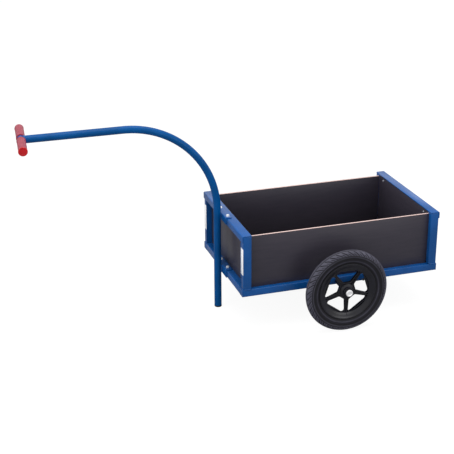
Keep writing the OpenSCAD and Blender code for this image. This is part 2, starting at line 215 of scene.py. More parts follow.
def ply_edge(name, axis, middle, thick):
    """The plywood's cut edge: light and dark veneers by turns, darkest next to the film."""
    edge = Finish(name, srgb(204, 160, 140), 0.62)
    depth = abs(abs(edge.axes()[axis]) - middle)
    veneer_pair = thick / 6
    layers = (depth * (2 * math.pi / veneer_pair)).sine().fade(-0.35, 0.35)
    skin = depth.fade(thick * 0.22, thick * 0.42)
    pores = edge.noise(700, 3)
    warm = edge.mix(pores.fade(0.35, 0.75), srgb(250, 230, 224), srgb(224, 194, 186))
    dark = edge.mix(pores.fade(0.3, 0.7), srgb(218, 184, 176), srgb(182, 146, 138))
    edge.feed("Base Color", edge.mix(skin, edge.mix(layers, dark, warm), srgb(84, 52, 56)))
    edge.bump(layers * 0.5 + pores, 0.12)
    return edge.material


def zinc(name, low, high):
    """Zinc plate, a little cloudy."""
    plate = Finish(name, low, 0.28, Metallic=0.5)
    cloud = plate.noise(160, 3)
    plate.feed("Base Color", plate.mix(cloud, low, high))
    plate.feed("Roughness", 0.2 + cloud * 0.2)
    plate.bump(plate.noise(1800, 1), 0.01)
    return plate.material


def chrome():
    """Bright nickel plate of the axle caps, a little uneven; its near-white base with little metal is
    partly a painted reflection of the white surroundings.
    """
    # Painted reflection: a near-white base stands in for the white surroundings seen in the plate.
    plate = Finish("chrome_cap", srgb(250, 250, 251), 0.12, Metallic=0.3)
    cloud = plate.noise(240, 2)
    plate.feed("Roughness", 0.07 + cloud * 0.1)
    plate.bump(cloud, 0.02)
    return plate.material


def reflector():
    """White retro-reflecting film with its small cells, with a faint painted glow, though the film is no
    lamp.
    """
    film = Finish("reflector_film", srgb(238, 240, 242), 0.3, Coat_Weight=0.6, Coat_Roughness=0.08)
    # Painted light: a faint white glow stands in for the light the film throws back.
    film.feed("Emission Color", (1, 1, 1, 1))
    film.feed("Emission Strength", 0.12)
    cells = film.node(
        "ShaderNodeTexVoronoi",
        {"feature": "DISTANCE_TO_EDGE"},
        {"Vector": film.spot(), "Scale": 330.0, "Randomness": 0.0},
        output="Distance",
    )
    wall = cells.fade(0.02, 0.09)
    film.feed("Base Color", film.mix(wall, srgb(232, 235, 240), srgb(252, 253, 254)))
    film.bump(wall, 0.08)
    return film.material


def soft_grip(name, low, high, roughness):
    """Dip-moulded red plastic, satin on the sleeve."""
    skin = Finish(name, low, roughness, Coat_Weight=0.15, Coat_Roughness=0.3)
    cloud = skin.noise(60, 3)
    fine = skin.noise(900, 2)
    skin.feed("Base Color", skin.mix(cloud.fade(0.3, 0.75), low, high))
    skin.feed("Roughness", roughness - 0.05 + fine * 0.1)
    skin.bump(fine + cloud * 0.5, 0.05)
    return skin.material


def moulded(name, low, high, roughness, *, scale=500.0, depth=0.05, shine=0.3):
    """Moulded plastic with a fine spark-eroded texture."""
    skin = Finish(name, low, roughness, Specular_IOR_Level=shine)
    fine = skin.noise(scale, 2)
    skin.feed("Base Color", skin.mix(skin.noise(24, 3).fade(0.35, 0.7), low, high))
    skin.feed("Roughness", roughness - 0.06 + fine * 0.14)
    skin.bump(fine, depth)
    return skin.material


def tyre_rubber():
    """Tyre rubber: matt, greyer on the tread, with painted shade darkest down in the tread's cuts and the
    wall's grooves and a painted highlight of grey on the wall's rings and the shoulders.
    """
    rubber = Finish("tyre_rubber", srgb(30, 29, 37), 0.6, Specular_IOR_Level=0.32)
    dust = rubber.noise(14, 4).fade(0.35, 0.75)
    fine = rubber.noise(700, 3)
    wall = rubber.mix(dust, srgb(13, 12, 22), srgb(21, 20, 31))
    tread = rubber.mix(dust, srgb(64, 63, 76), srgb(86, 85, 99))
    # The tread is greyer than the wall; the rings and shoulders take part of that grey as a painted
    # highlight.
    tread_grey_and_ring_highlight = rubber.mix(rubber.painted("tread"), wall, tread)
    # Painted shade: where cut is set the rubber turns near black, down in the tread's cuts and the wall's
    # grooves.
    rubber.feed("Base Color", rubber.mix(rubber.painted("cut"), tread_grey_and_ring_highlight, srgb(6, 6, 9)))
    rubber.feed("Roughness", 0.5 + fine * 0.18 + dust * 0.06)
    rubber.bump(fine, 0.09)
    return rubber.material


BLUE = powder_blue("powder_blue", srgb(10, 73, 136), srgb(15, 81, 150), 0.32)
BAR_BLUE = powder_blue("powder_blue_bar", srgb(0, 70, 128), srgb(1, 78, 142), 0.12)
FILM_SIDE = film_board("film_along", (0.06, 1, 0.6))
FILM_END = film_board("film_across", (1, 0.06, 0.6))
FILM_FLOOR = grip_board()
ZINC = zinc("zinc_plate", srgb(222, 226, 232), srgb(250, 251, 252))
# A darker copy of the zinc plate: painted shade for the panel bolt heads, which sit in shade.
PAINTED_SHADE_ZINC = zinc("zinc_plate_painted_shade", srgb(132, 134, 142), srgb(168, 170, 178))
CHROME_PAINTED_REFLECTION = chrome()
REFLECTOR = reflector()
# The sleeve's red is paler and pinker than the end's: painted sheen of the light from above on the one red
# plastic.
GRIP_WITH_PAINTED_SHEEN = soft_grip("grip_red", srgb(142, 34, 56), srgb(158, 46, 70), 0.5)
GRIP_END = soft_grip("grip_red_end", srgb(178, 2, 14), srgb(194, 8, 22), 0.22)
FOOT = moulded("foot_black", srgb(26, 26, 28), srgb(36, 36, 39), 0.5)
RIM_PLASTIC = moulded(
    "rim_black", srgb(11, 11, 20), srgb(18, 18, 29), 0.3, scale=380.0, depth=0.02, shine=0.45
)
RUBBER = tyre_rubber()
TUBE_RUBBER = moulded("tube_rubber", srgb(32, 32, 34), srgb(44, 44, 46), 0.55)
NYLON = moulded("bush_nylon", srgb(22, 22, 25), srgb(32, 32, 36), 0.42, scale=300.0, depth=0.03)


# ---------- mesh tools ----------


def moved(mesh, matrix):
    """The mesh itself, after the move."""
    bmesh.ops.transform(mesh, matrix=matrix, verts=mesh.verts)
    return mesh


def bevelled(mesh, edges, width, steps=3):
    """The mesh itself, with the given edges rounded."""
    bmesh.ops.bevel(
        mesh, geom=edges, offset=width, affect="EDGES", segments=steps, profile=0.5, material=-1
    )
    return mesh


def block(low, high, radius, steps=3):
    """A box between two corners with all its edges rounded."""
    low, high = Vector(low), Vector(high)
    mesh = bmesh.new()
    bmesh.ops.create_cube(mesh, size=1)
    moved(mesh, Matrix.Translation((low + high) / 2) @ Matrix.Diagonal((*(high - low), 1)))
    return bevelled(mesh, mesh.edges[:], radius, steps)


def only(kind, geometry):
    """The vertices, edges or faces in an operator's result."""
    return [found for found in geometry if isinstance(found, kind)]


def tidied(mesh):
    """Doubles merged and faces turned outwards."""
    bmesh.ops.remove_doubles(mesh, verts=mesh.verts[:], dist=0.0005)
    bmesh.ops.recalc_face_normals(mesh, faces=mesh.faces[:])
    return mesh


def turned(outline, steps=64, closed=False):
    """A solid of revolution about Z from (distance, height) points."""
    mesh = bmesh.new()
    verts = [mesh.verts.new((distance, 0, height)) for distance, height in outline]
    pairs = list(zip(verts, verts[1:]))
    if closed:
        pairs.append((verts[-1], verts[0]))
    edges = [mesh.edges.new(pair) for pair in pairs]
    bmesh.ops.spin(
        mesh, geom=verts + edges, cent=(0, 0, 0), axis=(0, 0, 1), dvec=(0, 0, 0),
        angle=2 * math.pi, steps=steps, use_merge=True, use_duplicate=False,
    )
    return tidied(mesh)


def extruded(outline, along):
    """The flat outline, a list of points, pushed out by the vector along."""
    mesh = bmesh.new()
    face = mesh.faces.new([mesh.verts.new(point) for point in outline])
    grown = bmesh.ops.extrude_face_region(mesh, geom=[face])["geom"]
    bmesh.ops.translate(mesh, vec=along, verts=only(bmesh.types.BMVert, grown))
    return tidied(mesh)


def swept(points, across, radii, sides=24):
    """A round bar along points that lie in a plane square to across, closed at both ends."""
    across = Vector(across).normalized()
    places = []
    for i, (point, radius) in enumerate(zip(points, radii)):
        ahead = (points[min(i + 1, len(points) - 1)] - points[max(i - 1, 0)]).normalized()
        turn = Matrix((across, ahead.cross(across), ahead)).transposed().to_4x4()
        places.append(Matrix.Translation(point) @ turn @ Matrix.Diagonal((radius, radius, 1, 1)))
    mesh = bmesh.new()
    bmesh.ops.create_circle(mesh, cap_ends=True, segments=sides, radius=1, matrix=places[0])
    edges = mesh.edges[:]
    for before, after in zip(places, places[1:]):
        grown = bmesh.ops.extrude_edge_only(mesh, edges=edges)["geom"]
        verts = only(bmesh.types.BMVert, grown)
        edges = [edge for edge in only(bmesh.types.BMEdge, grown) if edge.is_boundary]
        bmesh.ops.transform(mesh, matrix=after @ before.inverted(), verts=verts)
    bmesh.ops.contextual_create(mesh, geom=edges)
    return tidied(mesh)


def arc(centre, radius, start, end, steps):
    """Points on an arc in a plane, the angles in degrees."""
    angles = [math.radians(start + (end - start) * i / steps) for i in range(steps + 1)]
    return [(centre[0] + radius * math.cos(a), centre[1] + radius * math.sin(a)) for a in angles]


def joined(*parts):
    """All the parts as one mesh; the parts themselves are used up."""
    whole = bmesh.new()
    for part in parts:
        data = bpy.data.meshes.new("part")
        part.to_mesh(data)
        part.free()
        whole.from_mesh(data)
        bpy.data.meshes.remove(data)
    return whole


def piece(name, mesh, body, materials, nodes=(), sharp=35):
    """Turns a drawn mesh into a named piece that rides on a body and stands for CAD nodes."""
    moved(mesh, TO_ROW)
    bmesh.ops.recalc_face_normals(mesh, faces=mesh.faces[:])
    data = bpy.data.meshes.new(name)
    mesh.to_mesh(data)
    mesh.free()
    for material in materials:
        data.materials.append(material)
    data.shade_smooth()
    data.set_sharp_from_angle(angle=math.radians(sharp))
    made = bpy.data.objects.new(name, data)
    bpy.context.scene.collection.objects.link(made)
    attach(made, body)
    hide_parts(*nodes)
    return made


def keep_node(node, material):
    """A CAD node that is shown as it is, in a finish of its own."""
    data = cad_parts[node].data
    data.materials.clear()
    data.materials.append(material)


def hexagon(flats, height, chamfer=0.9):
    """A hexagonal head or nut on Z = 0, with the corners of its top turned off."""
    mesh = bmesh.new()
    corner = flats / 2 / math.cos(math.pi / 6)
    place = Matrix.Translation((0, 0, height / 2)) @ Matrix.Rotation(math.pi / 6, 4, "Z")
    bmesh.ops.create_cone(
        mesh, cap_ends=True, segments=6, radius1=corner, radius2=corner, depth=height, matrix=place
    )
    top = [e for e in mesh.edges if all(v.co.z > height - 0.01 for v in e.verts)]
    return bevelled(mesh, top, chamfer, 2)


def weld(start, end, radius=2.4, across=(0, 0, 1)):
    """A rippled weld bead between two points, thin at its ends."""
    start, end = Vector(start), Vector(end)
    ripple = 2.6
    ripple_steps = 4
    thin_steps = 5
    count = max(12, int((end - start).length / (ripple / ripple_steps)))
    points = [start.lerp(end, i / count) for i in range(count + 1)]
    radii = []
    for i in range(count + 1):
        run_out = min(1, (min(i, count - i) + 0.6) / thin_steps)
        wave = 0.9 + 0.1 * math.cos(2 * math.pi * i / ripple_steps)
        radii.append(radius * wave * run_out)
    return swept(points, across, radii, 8)


# ---------- frame ----------

TUBE_EDGE = 3.0
PLATE_EDGE = 0.8
X_AXIS = (1, 0, 0)


def frame_tubes():
    """The welded rails and posts, each with its rolled edges."""
    tubes = [f"{side}_floor_rail" for side in SIDES] + ["front_floor_rail", "rear_floor_rail"]
    tubes += ["front_cross_member", "rear_cross_member"]
    tubes += [f"{end}_{side}_post" for end in ("front", "rear") for side in SIDES]
    for node in tubes:
        low, high = span(node)
        piece(node + "_tube", block(low, high, TUBE_EDGE), "cart", [BLUE], [node])


def rail_caps():
    """Flat plates welded over the open ends of the side rails."""
    low, high = span("rail_end_caps")
    rail_low, rail_high = span("left_floor_rail")
    width = rail_high.y - rail_low.y
    overlap = 0.2
    inset = 0.4
    plates = []
    for x0, x1 in ((low.x, rail_low.x + overlap), (rail_high.x - overlap, high.x)):
        for y0 in (low.y, high.y - width):
            corner = (x0, y0 + inset, low.z + inset)
            opposite = (x1, y0 + width - inset, high.z - inset)
            plates.append(block(corner, opposite, PLATE_EDGE, 2))
    piece("rail_end_plates", joined(*plates), "cart", [BLUE], ["rail_end_caps"])


def angle_rail(node, facing):
    """A top rail bent from flat bar: facing is -1 at the front and 1 at the rear."""
    low, high = span(node)
    thick = 4
    bend = 5.5
    edge = 1.5
    cut_edge = 0.7
    end_x = low.x if facing < 0 else high.x
    reach = high.x - low.x
    shape = arc((bend, high.z - bend), bend, 180, 90, 6)
    shape += arc((reach - edge, high.z - edge), edge, 90, 0, 3)
    shape += [(reach, high.z - thick), (bend, high.z - thick)]
    shape += arc((bend, high.z - bend), bend - thick, 90, 180, 4)[1:]
    shape += [(thick, low.z)] + arc((edge, low.z + edge), edge, 270, 180, 3)
    outline = [(end_x - facing * x, low.y, z) for x, z in shape]
    rail = extruded(outline, (0, high.y - low.y, 0))
    rim = [e for e in rail.edges if abs(e.verts[0].co.y - e.verts[1].co.y) < 0.01]
    bevelled(rail, rim, cut_edge, 2)
    piece(node + "_angle", rail, "cart", [BLUE], [node])


def lugs():
    """Small plates inside the top rails that the end panels are bolted to."""
    low, high = span("panel_lugs")
    width = 26
    thick = 3
    plates = []
    for x0 in (low.x, high.x - thick):
        for y0 in (low.y, high.y - width):
            plates.append(block((x0, y0, low.z), (x0 + thick, y0 + width, high.z), PLATE_EDGE, 2))
    piece("panel_lug_plates", joined(*plates), "cart", [BLUE], ["panel_lugs"])


def post_welds(end, side, sign):
    """Beads round the foot of a corner post and up its inner edge."""
    low, high = span(f"{end}_{side}_post")
    outer_y, inner_y = (low.y, high.y) if sign < 0 else (high.y, low.y)
    face = low.x if end == "front" else high.x
    sunk_y = outer_y - sign * 1.2
    clear = 4
    below_rail = 36
    return [
        weld((low.x + clear, sunk_y, low.z), (high.x - clear, sunk_y, low.z), 4.0),
        weld((face, low.y + clear, low.z), (face, high.y - clear, low.z)),
        weld((face, inner_y, low.z + 3), (face, inner_y, high.z - below_rail), 1.6, X_AXIS),
    ]


def end_rail_welds(end, sign):
    """Beads over and down the joint of an end rail with a side rail."""
    low, high = span(f"{end}_floor_rail")
    joint = low.y if sign < 0 else high.y
    radius = 2.0
    face = low.x + radius if end == "front" else high.x - radius
    clear = 4
    return [
        weld((low.x + clear, joint, high.z), (high.x - clear, joint, high.z)),
        weld((face, joint, low.z + clear), (face, joint, high.z - clear), radius, X_AXIS),
    ]


def frame_welds():
    """Beads where the posts stand on the rails and where the end rails meet the side rails."""
    beads = []
    for end in ("front", "rear"):
        for side, sign in SIDES.items():
            beads += post_welds(end, side, sign) + end_rail_welds(end, sign)
    piece("frame_weld_beads", joined(*beads), "cart", [BLUE], sharp=60)


def reflectors():
    """A strip of reflecting film on each front post."""
    low, high = span("front_reflectors")
    post_low, post_high = span("front_left_post")
    margin = 1
    edge = 0.25
    width = post_high.y - post_low.y - 2 * margin
    strips = joined(*(
        block((low.x, y0, low.z), (high.x, y0 + width, high.z), edge, 2)
        for y0 in (low.y, high.y - width)
    ))
    piece("reflector_strips", strips, "cart", [REFLECTOR], ["front_reflectors"])


# ---------- panels ----------


def board(node, axis, film, reach=0.0):
    """A plywood panel whose thickness runs along axis: film on both faces, veneers on its edges.

    Reach draws both its ends out until they close against its neighbours.
    """
    edge_round = 0.6
    square_on = 0.95
    low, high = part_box(node)
    middle = abs(low[axis] + high[axis]) / 2
    edge = ply_edge(node + "_edge", axis, middle, high[axis] - low[axis])
    low, high = span(node)
    low.x -= reach
    high.x += reach
    mesh = block(low, high, edge_round, 2)
    mesh.normal_update()
    for face in mesh.faces:
        face.material_index = 0 if abs(face.normal[axis]) > square_on else 1
    piece(node + "_board", mesh, "cart", [film, edge], [node])


def panels():
    for side in SIDES:
        board(f"{side}_side_panel", 1, FILM_SIDE, 1.5)
    for end in ("front", "rear"):
        board(f"{end}_panel", 0, FILM_END)
    board("floor_panel", 2, FILM_FLOOR)


def button_head(radius, height):
    """A low domed head on Z = 0 with a socket."""
    dome = arc((0, -radius * 0.7), radius * 1.22, 35, 66, 6)
    foot = dome[0][1]
    scale = height / (dome[-1][1] - foot)
    skin = [(r, (z - foot) * scale) for r, z in dome]
    socket = [(radius * 0.45, height * 0.5), (0, height * 0.5)]
    return turned([(0, 0), (skin[0][0], 0)] + skin + socket, 32)


SMALL_HEAD_R = 6
SMALL_HEAD_H = 3.2
SMALL_NUT_AF = 10
SMALL_NUT_H = 5


def facing_x(x, y, z, sign):
    """From a fixing drawn along +Z to a place where it points along X, forwards or back."""
    return Matrix.Translation((x, y, z)) @ Matrix.Rotation(math.radians(90 * sign), 4, "Y")


def panel_fixings():
    """Bolts and nuts that hold the end panels to their lugs, screws and pins."""
    low, high = span("panel_bolts")
    z = high.z - SMALL_HEAD_R
    across = (low.y + SMALL_HEAD_R, high.y - SMALL_HEAD_R)
    front_face = span("front_panel")[1].x
    rear_face = span("rear_panel")[0].x
    nut_low, nut_high = span("panel_nuts")
    heads, nuts = [], []
    for head_x, nut_x, sign in ((front_face, nut_low.x, 1), (rear_face, nut_high.x, -1)):
        for y in across:
            heads.append(moved(button_head(SMALL_HEAD_R, SMALL_HEAD_H), facing_x(head_x, y, z, sign)))
            nuts.append(moved(hexagon(SMALL_NUT_AF, SMALL_NUT_H), facing_x(nut_x, y, z, sign)))
    # The bolt heads take the darker zinc copy as painted shade.
    piece("panel_bolt_heads", joined(*heads), "cart", [PAINTED_SHADE_ZINC], ["panel_bolts"])
    piece("panel_hex_nuts", joined(*nuts), "cart", [ZINC], ["panel_nuts"])
    for node in ("panel_screws", "panel_pins"):
        keep_node(node, ZINC)


def floor_bolts():
    """Countersunk bolts whose heads stand just proud of the floor."""
    low, high = span("floor_bolts")
    floor = span("floor_panel")[1].z
    proud = 0.5
    sunk = 0.4
    heads = [
        moved(button_head(SMALL_HEAD_R, proud + sunk), Matrix.Translation((x, y, floor - sunk)))
        for x in (low.x + SMALL_HEAD_R, high.x - SMALL_HEAD_R)
        for y in (low.y + SMALL_HEAD_R, high.y - SMALL_HEAD_R)
    ]
    piece("floor_bolt_heads", joined(*heads), "cart", [ZINC], ["floor_bolts"])


# ---------- drawbar ----------

BAR_R = 17.5
BEND_R = 435
BAR_X = middle_of("foot_cap").x
LEVEL_Z = middle_of("cross_handle_tube").z
REACH = -middle_of("cross_handle_tube").x
FOOT_TREAD = 7


def drawbar():
    """The bent tube: leg, quarter bend and level stretch."""
    bend = (BAR_X - BEND_R, LEVEL_Z - BEND_R)
    into_handle = 9
    path = [(BAR_X, FOOT_TREAD + 0.2), (BAR_X, 120), (BAR_X, 300)] + arc(bend, BEND_R, 0, 90, 72)
    path += [(-700, LEVEL_Z), (-REACH + into_handle, LEVEL_Z)]
    points = [Vector((x, 0, z)) for x, z in path]
    tube = swept(points, (0, 1, 0), [BAR_R] * len(points), 48)
    piece("drawbar_bent_tube", tube, "cart", [BAR_BLUE], ["drawbar_tube"], sharp=50)


def bracket(node):
    """A folded bracket on its rail, with rounded corners and its welds to the drawbar."""
    low, high = span(node)
    plate = 6
    shelf = 5
    bend = 4
    corner = 4
    edge = 1
    shape = arc((-plate + bend, high.z - bend), bend, 180, 90, 5)
    shape += arc((high.x - edge, high.z - edge), edge, 90, 0, 2)
    shape += [(high.x, high.z - shelf), (0.5, high.z - shelf), (0, high.z - shelf - 0.5)]
    shape += arc((-edge, low.z + edge), edge, 0, -90, 2)
    shape += arc((-plate + edge, low.z + edge), edge, -90, -180, 2)
    mesh = extruded([(x, low.y, z) for x, z in shape], (0, high.y - low.y, 0))
    corners = []
    for end in mesh.edges:
        a, b = (v.co for v in end.verts)
        upright = abs(a.y - b.y) < 0.01 and abs(a.x - b.x) < 0.01 and abs(a.x - high.x) < 0.01
        lowest = abs(a.y - b.y) < 0.01 and abs(a.z - b.z) < 0.01 and abs(a.z - low.z) < 0.01
        if upright or lowest:
            corners.append(end)
    bevelled(mesh, corners, corner, 4)
    beads = bracket_welds(low, high, plate, shelf)
    piece(node + "_folded", joined(mesh, *beads), "cart", [BLUE], [node])
    return high.z


def bracket_welds(low, high, plate, shelf):
    """Beads down both sides of the drawbar and down the bracket's ends."""
    x = -plate - 1.5
    y = 11.5
    beads = []
    for side in (-y, y):
        beads.append(weld((x, side, low.z + 1), (x, side, high.z - 1), 4.2, X_AXIS))
    for end in (low.y, high.y):
        beads.append(weld((-0.5, end, low.z + 4), (-0.5, end, high.z - shelf - 1), 2.6, X_AXIS))
    return beads


BRACKET_BOLT_X = 11
UPPER_BOLT_Y = 56
LOWER_BOLT_Y = 50
BOLT_R = 4
BOLT_AF = 13
BOLT_HEAD_H = 5.5
BOLT_TAIL = 8.5
NUT_H = 6.5
WASHER_T = 1.6


def flat_washer():
    """A washer on Z = 0, its upper edge turned off."""
    outer = 8
    edge = 0.3
    rim = [(outer, 0), (outer, WASHER_T - edge), (outer - edge, WASHER_T)]
    return turned([(BOLT_R, 0)] + rim + [(BOLT_R, WASHER_T)], 32, closed=True)


def bolt_shank():
    """The bolt's pointed tail, from its tip on Z = 0 up into the rail."""
    point = 0.6
    length = 12
    return turned([(0, 0), (BOLT_R - point, 0), (BOLT_R, point), (BOLT_R, length), (0, length)], 24)


def bracket_fixings(upper_z, lower_z):
    """The brackets' hex bolts, washers and nuts."""
    plate = 4
    rows = (
        (UPPER_BOLT_Y, upper_z, span("front_top_rail")[1].z - plate),
        (LOWER_BOLT_Y, lower_z, span("front_floor_rail")[0].z),
    )
    heads, rings, nuts = [], [], []
    for bolt_y, seat, under in rows:
        for y in (-bolt_y, bolt_y):
            places = [Matrix.Translation((BRACKET_BOLT_X, y, z)) for z in (seat, seat + WASHER_T, under)]
            hang = places[2] @ Matrix.Rotation(math.pi, 4, "X")
            rings.append(moved(flat_washer(), places[0]))
            heads.append(moved(hexagon(BOLT_AF, BOLT_HEAD_H), places[1]))
            nuts.append(moved(hexagon(BOLT_AF, NUT_H), hang))
            tail = Matrix.Translation((BRACKET_BOLT_X, y, under - BOLT_TAIL))
            heads.append(moved(bolt_shank(), tail))
    piece("bracket_bolt_heads", joined(*heads), "cart", [ZINC], ["bracket_bolts"])
    piece("bracket_flat_washers", joined(*rings), "cart", [ZINC], ["bracket_washers"])
    piece("bracket_hex_nuts", joined(*nuts), "cart", [ZINC], ["bracket_nuts"])


def foot():
    """A moulded plug in the foot of the drawbar: ribbed tread below, stem inside the tube."""
    low, high = span("foot_cap")
    radius = (high.x - low.x) / 2
    groove = 0.8
    toe = 1.6
    edge = 0.6
    stem = 14.8
    outline = [(0, groove), (6, groove), (6.6, 0), (9, 0), (9.6, groove), (12, groove), (12.6, 0)]
    outline += arc((radius - toe, toe), toe, -90, 0, 5)
    outline += arc((radius - edge, FOOT_TREAD - edge), edge, 0, 90, 3)
    outline += [(stem, FOOT_TREAD), (stem, high.z - 1), (stem - 1, high.z), (0, high.z)]
    mesh = moved(turned(outline, 64), Matrix.Translation((BAR_X, 0, 0)))
    piece("foot_plug_moulding", mesh, "cart", [FOOT], ["foot_cap"])


HANDLE_HALF = 173
HANDLE_R = 15
GRIP_GAP = 38
GRIP_R = 20.6
HANDLE_TURN = math.radians(5)


def handle_place(sign):
    """From a piece drawn along +Z to its place on the cross handle, outwards on one side."""
    turn = Matrix.Rotation(-HANDLE_TURN, 4, "Z") @ Matrix.Rotation(math.radians(-90 * sign), 4, "X")
    return Matrix.Translation((-REACH, 0, LEVEL_Z)) @ turn


def grip(side, sign):
    """A push-on grip: collar, sleeve with low ribs and a rounded, slightly hollow end."""
    start = GRIP_GAP / 2
    lip = 1.2
    body = GRIP_R - lip
    outline = [(HANDLE_R + 0.2, start)] + arc((body, start + lip), lip, -90, 0, 3)
    outline += arc((body, start + 4), lip, 0, 80, 3) + [(body, start + 7)]
    ribs = 9
    rib = 0.35
    slope = 1.2
    first = start + 16
    pitch = (HANDLE_HALF - 18 - first) / ribs
    for i in range(ribs):
        z = first + i * pitch
        outline += [(body, z), (body + rib, z + slope)]
        outline += [(body + rib, z + pitch - 2 * slope), (body, z + pitch - slope)]
    end_round = 3
    hollow = 0.8
    outline += [(body, HANDLE_HALF - 9)]
    outline += arc((GRIP_R - end_round, HANDLE_HALF - end_round), end_round, 0, 90, 6)
    outline += [(13.5, HANDLE_HALF), (13, HANDLE_HALF - hollow), (0, HANDLE_HALF - hollow)]
    sleeve = turned(outline, 64)
    end_from = HANDLE_HALF - 2.2
    for face in sleeve.faces:
        face.material_index = 1 if face.calc_center_median().z > end_from else 0
    mesh = moved(sleeve, handle_place(sign))
    piece(f"{side}_grip_sleeve", mesh, "cart", [GRIP_WITH_PAINTED_SHEEN, GRIP_END], [f"{side}_grip"])


def cross_handle():
    """The tube under the grips and the weld that joins it to the drawbar."""
    end = HANDLE_HALF - 4
    rod = [Vector((0, 0, z)) for z in (-end, 0, end)]
    tube = moved(swept(rod, X_AXIS, [HANDLE_R] * 3, 48), handle_place(-1))
    joint_x = -REACH + 14
    loop = [Vector((joint_x, y, LEVEL_Z + z)) for y, z in arc((0, 0), BAR_R - 0.6, 0, 360, 72)]
    radii = [2.6 + 0.35 * math.cos(i * math.pi / 2) for i in range(len(loop))]
    bead = swept(loop, X_AXIS, radii, 8)
    piece("cross_handle_bar", joined(tube, bead), "cart", [BLUE], ["cross_handle_tube"])


# ---------- wheels ----------

WHEEL_X, WHEEL_Y, TYRE_R = middle_of("right_tyre")
SECTION_R = 25
BEAD_R = 132
LIP_R = 139
SPOKES = 5
CROWN_TO = 92
BEAD_HALF = 15.5
PITCHES = 42
PITCH_STEPS = 16
TREAD_SLANT = -0.16


def axle_place(sign, distance=0.0):
    """From a piece drawn along +Z to its place on the axle, outwards on one side."""
    turn = Matrix.Rotation(math.radians(-90 * sign), 4, "X")
    return Matrix.Translation((WHEEL_X, sign * distance, TYRE_R)) @ turn


def tread_depth(step, across):
    """How deep the tread is cut at a step of its pitch and an angle across it in degrees.

    A groove runs round on each side of the crown and a line round each shoulder, and between
    them lie a long and a short cut in turn, half a pitch apart on the two sides.
    """
    step = (step + (PITCH_STEPS // 2 if across < 0 else 0)) % PITCH_STEPS
    place = abs(across)
    if 7 < place < 12:
        return 2.0
    if step < 3 and 22 < place < 74:
        return 2.6
    if PITCH_STEPS // 2 < step < PITCH_STEPS // 2 + 3 and 50 < place < 74:
        return 1.6
    return 1.3 if 79 < place < 86 else 0.0


def tyre_section():
    """Half of the tyre's section from the crown down to the bead, with its moulded rings."""
    crown = arc((TYRE_R - SECTION_R, 0), SECTION_R, 0, CROWN_TO, CROWN_TO // 4)
    top, wide = crown[-1]
    foot = LIP_R + 0.6
    foot_half = 16.4
    steps = 12
    rings = {2: -1.0, 3: -1.0, 7: 0.9, 8: 0.9, 11: -0.9}
    wall = []
    for i in range(1, steps + 1):
        t = i / steps
        half = wide + (foot_half - wide) * t**1.5 + rings.get(i, 0)
        wall.append((top + (foot - top) * t, half))
    return crown + wall + [(BEAD_R, BEAD_HALF)]


def painted_wall_shade_and_highlight(radius):
    """The wall's cut and tread values at a radius: painted shade in its grooves and a painted highlight of
    grey on its rings.
    """
    grooved = 165 < radius < 170.5 or radius < 144
    ringed = radius > 171 or 149 < radius < 156
    return 0.8 if grooved else 0.0, 0.45 if ringed else 0.0


def tyre_mesh():
    """The tyre about Z: slanting tread cuts, shoulder line and moulded rings on the walls."""
    middle = TYRE_R - SECTION_R
    steps = PITCHES * PITCH_STEPS
    half = tyre_section()
    outline = [(r, -z) for r, z in reversed(half[1:])] + half
    mesh = turned(outline, steps, closed=True)
    cut = mesh.verts.layers.float.new("cut")
    tread = mesh.verts.layers.float.new("tread")
    for vert in mesh.verts:
        radius = vert.co.xy.length
        across = math.degrees(math.atan2(vert.co.z, radius - middle))
        if abs(across) > CROWN_TO:
            vert[cut], vert[tread] = painted_wall_shade_and_highlight(radius)
            continue
        angle = math.atan2(vert.co.y, vert.co.x)
        depth = tread_depth(round(angle / (2 * math.pi) * steps), across)
        rise = math.radians(across)
        out = math.cos(rise)
        # Painted shade: the deeper the cut, the darker it is painted.
        vert[cut] = min(depth, 1.0)
        # Painted highlight: the shoulders past the crown get part of the tread's grey.
        vert[tread] = 1.0 if abs(across) < 78 else 0.45
        vert.co -= Vector((math.cos(angle) * out, math.sin(angle) * out, math.sin(rise))) * depth
        vert.co.rotate(Matrix.Rotation(math.radians(abs(across)) * TREAD_SLANT, 3, "Z"))
    return mesh


def tyres():
    """Both tyres, the tread's cuts leaning the same way about each axle end."""
    drawn = tyre_mesh()
    for side, sign in SIDES.items():
        wheel = f"{side}_wheel"
        mesh = moved(drawn.copy(), axle_place(sign, WHEEL_Y))
        piece(f"{side}_tyre_tread", mesh, wheel, [RUBBER], [f"{side}_tyre"], sharp=28)
    drawn.free()


def rounded(points, radius, steps=6):
    """A closed outline with each corner turned into an arc of the radius."""
    outline = []
    for i, corner in enumerate(points):
        here = Vector(corner)
        back = (Vector(points[i - 1]) - here).normalized()
        on = (Vector(points[(i + 1) % len(points)]) - here).normalized()
        half = back.angle(on) / 2
        centre = here + (back + on).normalized() * (radius / math.sin(half))
        first = here + back * (radius / math.tan(half)) - centre
        last = here + on * (radius / math.tan(half)) - centre
        sweep = first.angle_signed(last)
        for j in range(steps + 1):
            spoke = first.copy()
            spoke.rotate(Matrix.Rotation(-sweep * j / steps, 2))
            outline.append(centre + spoke)
    return outline


def window(chord, inner, spoke_out, spoke_in, radius):
    """Outline of the opening between two spokes, its middle on the X axis."""
    half = math.pi / SPOKES
    wide = chord * math.tan(half) - spoke_out / math.cos(half)
    narrow = inner * math.tan(half) - spoke_in / math.cos(half)
    return rounded([(inner, -narrow), (chord, -wide), (chord, wide), (inner, narrow)], radius)


